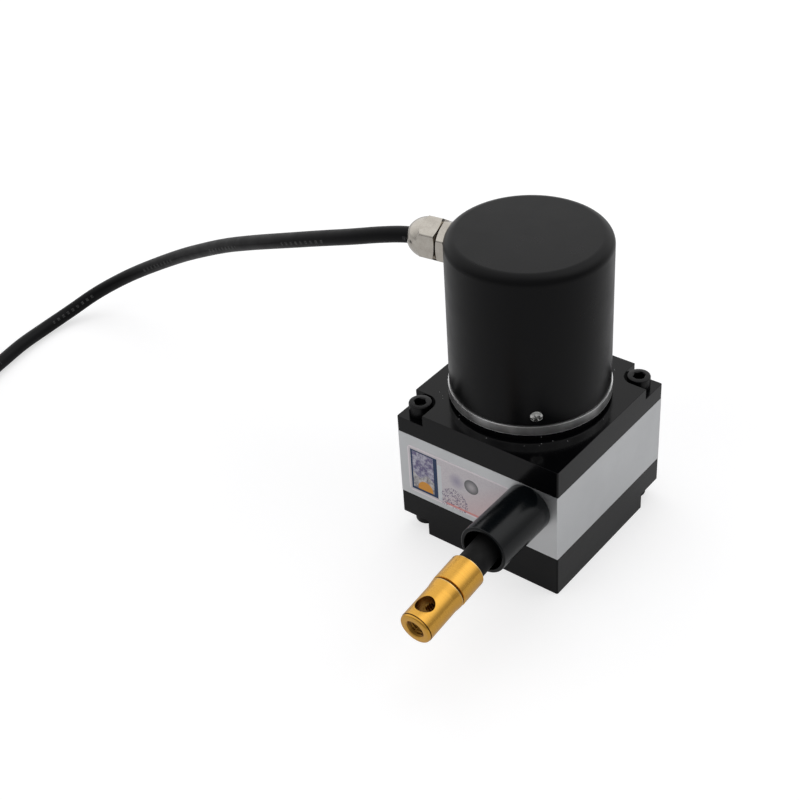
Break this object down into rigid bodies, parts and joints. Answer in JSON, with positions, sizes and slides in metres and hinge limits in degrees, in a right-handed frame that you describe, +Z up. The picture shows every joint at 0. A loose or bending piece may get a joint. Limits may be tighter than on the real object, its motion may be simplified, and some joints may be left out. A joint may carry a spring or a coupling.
{
  "type": "draw wire encoder",
  "caption": "Draw wire encoder: a square body with a sprung wire drum, a round encoder cap with a cable gland, and a pull-out wire with a threaded end fitting.",
  "frame": {"origin": "centre of the square underside, on the drum's axis", "axes": "+Z up along the drum's and encoder's axis, -Y the way the wire leaves, +X to the right seen from the wire's end"},
  "size_m": [0.3495, 0.1835, 0.1204],
  "materials": {
    "black_anodised": "satin black anodised",
    "clear_anodised": "fine bead blasted",
    "black_screw": "black oxide",
    "sticker": "printed film",
    "bare_aluminium": "turned",
    "spring_steel": "blued strip",
    "bearing_steel": "ground",
    "zinc_screw": "bright",
    "black_rubber": "matt",
    "black_plastic": "smooth",
    "bush_plastic": "natural",
    "felt": "pressed",
    "nickel": "satin nickel",
    "board_green": "solder mask",
    "chip_black": "moulded",
    "terminal_green": "moulded",
    "brass": "turned",
    "glass": "polished",
    "core_colours": "insulation",
    "cable_jacket": "extruded",
    "steel_rope": "stranded",
    "gold_anodised": "turned and gold anodised",
    "copper": "crimped"
  },
  "bodies": {
    "housing": {"base_plate": "black_anodised", "body_block": "clear_anodised", "top_plate": "black_anodised", "base_screws": "black_screw", "top_screws": "black_screw", "label": "sticker", "spring_cover": "bare_aluminium", "cover_screws": "zinc_screw", "power_spring": "spring_steel", "spring_pin": "bearing_steel", "bearing_outer_rings": "bearing_steel", "shaft_seal": "black_rubber", "outlet_tube": "black_plastic", "outlet_bush": "bush_plastic", "wire_wiper": "felt", "encoder_flange": "bare_aluminium", "flange_screws": "zinc_screw", "cap": "black_anodised", "cap_seal": "black_rubber", "cap_screws": "zinc_screw", "reading_head": "chip_black", "circuit_board": "board_green", "board_posts": "brass", "board_screws": "zinc_screw", "board_parts": "chip_black", "terminal_block": "terminal_green", "cable_cores": "core_colours", "gland_body": "nickel", "gland_washer": "black_rubber", "gland_seal": "black_rubber", "gland_nut": "nickel", "cable": "cable_jacket", "cable_coil": "cable_jacket", "cable_tie": "black_plastic", "cable_leads": "core_colours"},
    "drum": {"shaft": "bearing_steel", "spring_arbor": "bare_aluminium", "drum": "bare_aluminium", "drum_pin": "bearing_steel", "wire_anchor": "black_screw", "wound_wire": "steel_rope", "bearing_inner_rings": "bearing_steel", "retaining_ring": "spring_steel", "disc_hub": "brass", "hub_screw": "black_screw", "code_disc": "glass"},
    "balls": {"bearing_balls": "bearing_steel", "bearing_cages": "brass"},
    "wire_end": {"wire": "steel_rope"},
    "fitting": {"wire_tail": "steel_rope", "rubber_buffer": "black_rubber", "end_fitting": "gold_anodised", "crimp_ferrule": "copper"}
  },
  "joints": [
    {"name": "wire_pull", "type": "slide", "parent": "housing", "child": "wire_end", "axis": [0, -1, 0], "range_m": [0, 1], "stiffness_N_per_m": 3, "springref_m": -1.667, "deforming": ["wire"]},
    {"name": "drum_spin", "type": "hinge", "parent": "housing", "child": "drum", "pos_m": [0, 0, 0.03], "axis": [0, 0, 1], "range_deg": [-2575, 0], "deforming": ["wound_wire", "power_spring"]},
    {"name": "ball_cage", "type": "hinge", "parent": "housing", "child": "balls", "pos_m": [0, 0, 0.03], "axis": [0, 0, 1], "range_deg": [-955, 0]},
    {"name": "fitting_swing", "type": "hinge", "parent": "wire_end", "child": "fitting", "pos_m": [0.02228, -0.0523, 0.0352], "axis": [-1, 0, 0], "range_deg": [0, 14]}
  ],
  "couplings": [
    {"joint": "drum_spin", "follows": "wire_pull", "rad_per_m": -44.883},
    {"joint": "ball_cage", "follows": "wire_pull", "rad_per_m": -16.607}
  ]
}
